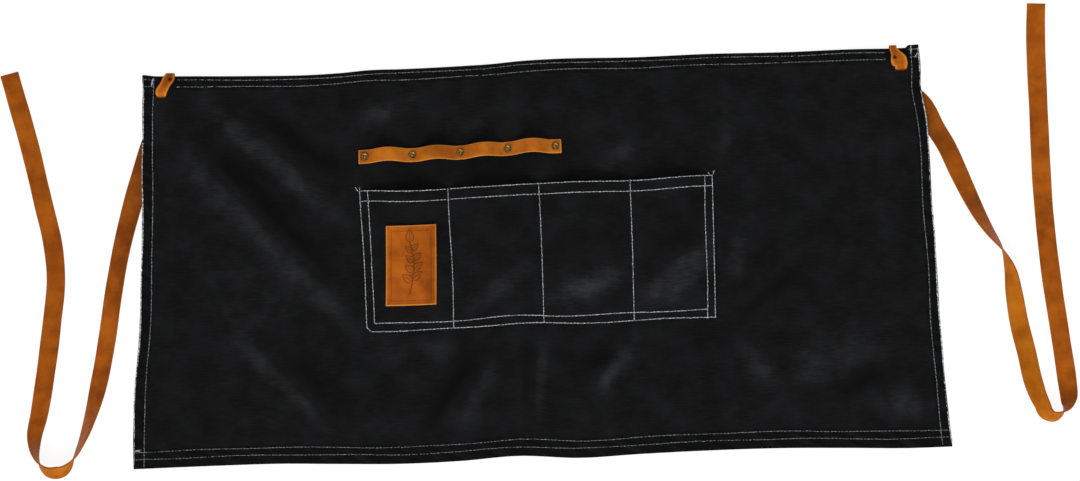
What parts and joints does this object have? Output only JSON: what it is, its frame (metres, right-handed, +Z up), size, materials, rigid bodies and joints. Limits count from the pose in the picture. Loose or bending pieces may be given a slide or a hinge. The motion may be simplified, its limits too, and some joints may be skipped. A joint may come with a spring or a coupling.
{
  "type": "garden tool apron",
  "caption": "Waist apron for garden tools: dark canvas panel with stitched hems, divided front pocket, riveted leather loop strip, leather patch and leather waist ties.",
  "frame": {"origin": "middle of the bottom of the bounding box, as the apron lies front side up", "axes": "+X along the waist edge to the right as seen from above, +Y towards the waist edge, +Z up out of the front"},
  "size_m": [1.0768, 0.4756, 0.0189],
  "materials": {
    "canvas": "black cotton canvas with a fine twill, pale topstitching",
    "tie_leather": "tan vegetable tanned strap, smooth grain side, lighter flesh side",
    "strip_leather": "tan leather strip with dark cut edges",
    "patch_leather": "tan leather with a lighter raised rim and a pressed plant sprig",
    "rivet_brass": "antique brass"
  },
  "bodies": {
    "root": {"apron_panel": "canvas", "pocket_panel": "canvas", "tool_loop_strip": "strip_leather", "leather_patch": "patch_leather", "waist_tie_left": "tie_leather", "waist_tie_right": "tie_leather", "rivet_1": "rivet_brass", "rivet_2": "rivet_brass", "rivet_3": "rivet_brass", "rivet_4": "rivet_brass", "rivet_5": "rivet_brass"}
  },
  "joints": []
}
